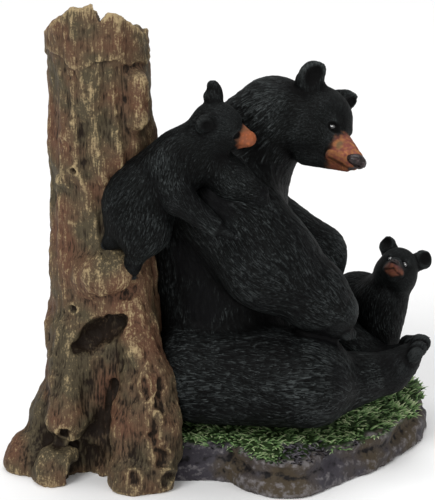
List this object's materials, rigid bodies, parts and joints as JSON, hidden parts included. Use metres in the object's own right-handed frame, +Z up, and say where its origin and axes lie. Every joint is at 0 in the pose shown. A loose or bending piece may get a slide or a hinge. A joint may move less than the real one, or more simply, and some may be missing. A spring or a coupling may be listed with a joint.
{
  "type": "bear figurine",
  "caption": "Painted resin figurine: a black bear sits against a broken tree trunk with her cubs, on a low rock with grass. Stands flat on its base.",
  "frame": {"origin": "middle of the footprint, on the flat underside", "axes": "+Z up along the trunk, +X from the trunk towards the seated bear's feet, +Y away from the side that faces the viewer"},
  "size_m": [0.1908, 0.134, 0.2162],
  "materials": {
    "painted_resin": "hand-painted cast resin: black fur with grey dry-brushing, brown bark, grey rock and green grass, satin"
  },
  "bodies": {
    "root": {"bear_figurine": "painted_resin"}
  },
  "joints": []
}
